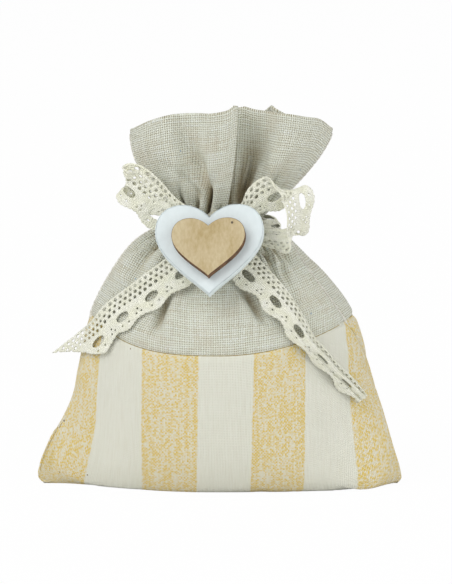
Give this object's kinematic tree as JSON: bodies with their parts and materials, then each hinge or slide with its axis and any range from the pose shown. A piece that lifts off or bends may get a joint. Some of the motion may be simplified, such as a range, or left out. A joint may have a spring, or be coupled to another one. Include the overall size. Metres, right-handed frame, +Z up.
{
  "type": "scented sachet pouch",
  "caption": "Small standing cloth pouch of linen and striped cotton, filled with dried lavender, tied at the neck with a lace bow and two glued hearts.",
  "frame": {"origin": "middle of the bottom fold, on the flat base that the pouch stands on", "axes": "+Z up, -Y out of the front with the hearts, +X to the right seen from the front"},
  "size_m": [0.1006, 0.0471, 0.104],
  "materials": {
    "linen": "plain-weave natural linen",
    "striped_cotton": "cream cotton with mottled mustard stripes",
    "seam_thread": "matt sewing thread and turned-in cloth",
    "dried_lavender": "loose dried flower buds",
    "cotton_lace": "cream cotton lace",
    "clear_glue": "hot-melt glue",
    "painted_wood": "satin bluish-white paint",
    "birch_plywood": "raw birch plywood with dark laser-cut edge"
  },
  "bodies": {
    "pouch": {"linen_front_panel": "linen", "linen_back_panel": "linen", "striped_panel": "striped_cotton", "left_side_seam": "seam_thread", "right_side_seam": "seam_thread", "front_waist_seam": "seam_thread", "back_waist_seam": "seam_thread", "lavender_filling": "dried_lavender", "lace_neck_wrap": "cotton_lace", "lace_knot": "cotton_lace", "heart_glue": "clear_glue", "white_heart": "painted_wood", "wood_heart": "birch_plywood", "lace_left_tail_root": "cotton_lace", "lace_right_tail_root": "cotton_lace"},
    "left_tail": {"lace_left_tail": "cotton_lace"},
    "right_tail": {"lace_right_tail": "cotton_lace"},
    "left_loop": {"lace_left_loop": "cotton_lace"},
    "right_loop": {"lace_right_loop": "cotton_lace"}
  },
  "joints": [
    {"name": "left_tail_lift", "type": "hinge", "parent": "pouch", "child": "left_tail", "pos_m": [-0.01202, -0.01231, 0.06265], "axis": [-0.5657, 0.4428, 0.6956], "range_deg": [0, 70]},
    {"name": "right_tail_lift", "type": "hinge", "parent": "pouch", "child": "right_tail", "pos_m": [0.00613, -0.01324, 0.06234], "axis": [-0.7783, -0.3441, -0.5252], "range_deg": [0, 70]},
    {"name": "left_loop_droop", "type": "hinge", "parent": "pouch", "child": "left_loop", "pos_m": [-0.0055, -0.0105, 0.0748], "axis": [0, -1, 0], "range_deg": [-10, 12]},
    {"name": "right_loop_droop", "type": "hinge", "parent": "pouch", "child": "right_loop", "pos_m": [0.0055, -0.0105, 0.0748], "axis": [0, 1, 0], "range_deg": [-10, 12]}
  ]
}
